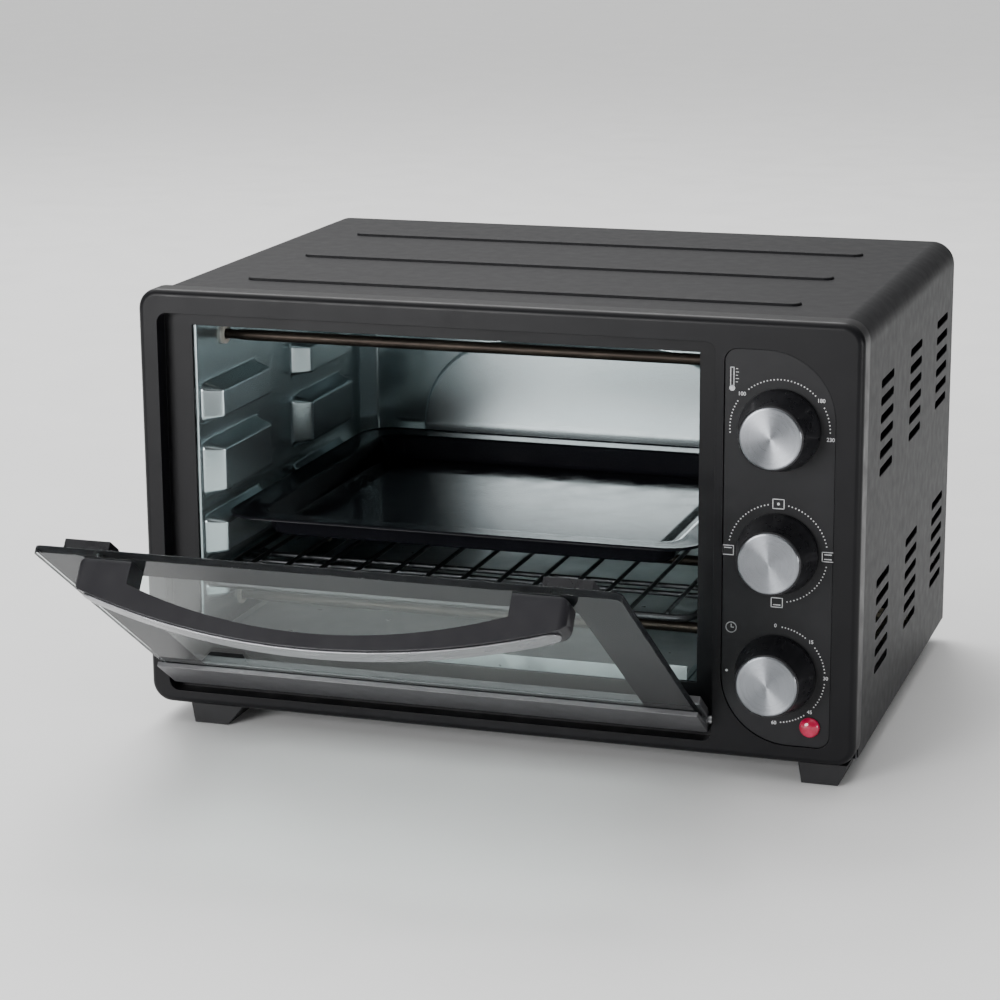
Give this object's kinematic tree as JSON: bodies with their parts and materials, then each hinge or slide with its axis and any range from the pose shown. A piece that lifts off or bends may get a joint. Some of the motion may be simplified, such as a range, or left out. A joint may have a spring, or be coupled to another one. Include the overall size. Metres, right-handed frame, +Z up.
{
  "type": "toaster oven",
  "caption": "Countertop toaster oven with a drop-down glass door part open, a bowed handle, rotary controls, a wire rack and a baking tray.",
  "frame": {"origin": "on the surface the oven stands on, under the middle of the whole object's box with the door part open as stored", "axes": "+X to the oven's right as seen from the front, +Y from the front to the back, +Z up"},
  "size_m": [0.42, 0.4966, 0.2588],
  "materials": {
    "frame_black": "satin black",
    "panel_grey": "satin dark grey",
    "cover_black": "fine textured black paint",
    "base_steel": "dark zinc",
    "cavity_steel": "galvanised",
    "heater_sheath": "heat-browned",
    "ceramic": "matt ceramic",
    "control_metal": "plated",
    "control_resin": "moulded resin",
    "fastener_steel": "zinc plated",
    "lamp_red": "clear red",
    "foot_black": "matt black",
    "door_glass": "tempered, greenish",
    "rail_grey": "satin dark grey",
    "handle_grey": "satin charcoal",
    "trim_silver": "satin silver",
    "knob_black": "satin black",
    "cap_silver": "spun",
    "rack_wire": "plated, darkened",
    "tray_enamel": "gloss black enamel",
    "crumb_steel": "galvanised, darkened"
  },
  "bodies": {
    "oven": {"front_frame": "frame_black", "control_panel": "panel_grey", "outer_cover": "cover_black", "back_panel": "cover_black", "bottom_plate": "base_steel", "cavity_left_wall": "cavity_steel", "cavity_right_wall": "cavity_steel", "cavity_top": "cavity_steel", "cavity_floor": "cavity_steel", "cavity_back": "cavity_steel", "heat_shield": "cavity_steel", "upper_front_heater": "heater_sheath", "upper_rear_heater": "heater_sheath", "lower_front_heater": "heater_sheath", "lower_rear_heater": "heater_sheath", "heater_insulators": "ceramic", "thermostat": "control_metal", "function_switch": "control_resin", "timer": "control_metal", "shaft_nuts": "fastener_steel", "lamp_lens": "lamp_red", "lamp_holder": "control_resin", "terminal_block": "control_resin", "cord_gland": "foot_black", "foot_front_left": "foot_black", "foot_front_right": "foot_black", "foot_rear_left": "foot_black", "foot_rear_right": "foot_black", "foot_screws": "fastener_steel", "back_screws": "fastener_steel"},
    "door": {"door_glass": "door_glass", "door_rail": "rail_grey", "hinge_pin_left": "fastener_steel", "hinge_pin_right": "fastener_steel", "door_handle": "handle_grey", "handle_trim": "trim_silver", "handle_block_left": "foot_black", "handle_block_right": "foot_black", "handle_screws": "fastener_steel"},
    "temperature_control": {"temperature_knob": "knob_black", "temperature_knob_cap": "cap_silver", "temperature_shaft": "fastener_steel"},
    "function_control": {"function_knob": "knob_black", "function_knob_cap": "cap_silver", "function_shaft": "fastener_steel"},
    "timer_control": {"timer_knob": "knob_black", "timer_knob_cap": "cap_silver", "timer_shaft": "fastener_steel"},
    "rack": {"wire_rack": "rack_wire"},
    "tray": {"baking_tray": "tray_enamel"},
    "crumbs": {"crumb_tray": "crumb_steel"}
  },
  "joints": [
    {"name": "door_hinge", "type": "hinge", "parent": "oven", "child": "door", "pos_m": [0, -0.05272, 0.0315], "axis": [1, 0, 0], "range_deg": [-55.3, 28.7]},
    {"name": "temperature_turn", "type": "hinge", "parent": "oven", "child": "temperature_control", "pos_m": [0.1649, -0.05572, 0.19895], "axis": [0, 1, 0], "range_deg": [0, 180]},
    {"name": "function_turn", "type": "hinge", "parent": "oven", "child": "function_control", "pos_m": [0.1649, -0.05572, 0.13045], "axis": [0, 1, 0], "range_deg": [0, 270]},
    {"name": "timer_turn", "type": "hinge", "parent": "oven", "child": "timer_control", "pos_m": [0.1649, -0.05572, 0.06195], "axis": [0, 1, 0], "range_deg": [0, 285]},
    {"name": "rack_slide", "type": "slide", "parent": "oven", "child": "rack", "axis": [0, -1, 0], "range_m": [-0.003, 0.007]},
    {"name": "tray_slide", "type": "slide", "parent": "oven", "child": "tray", "axis": [0, -1, 0], "range_m": [-0.006, 0.018]},
    {"name": "crumb_tray_slide", "type": "slide", "parent": "oven", "child": "crumbs", "axis": [0, -1, 0], "range_m": [-0.004, 0.0025]}
  ]
}
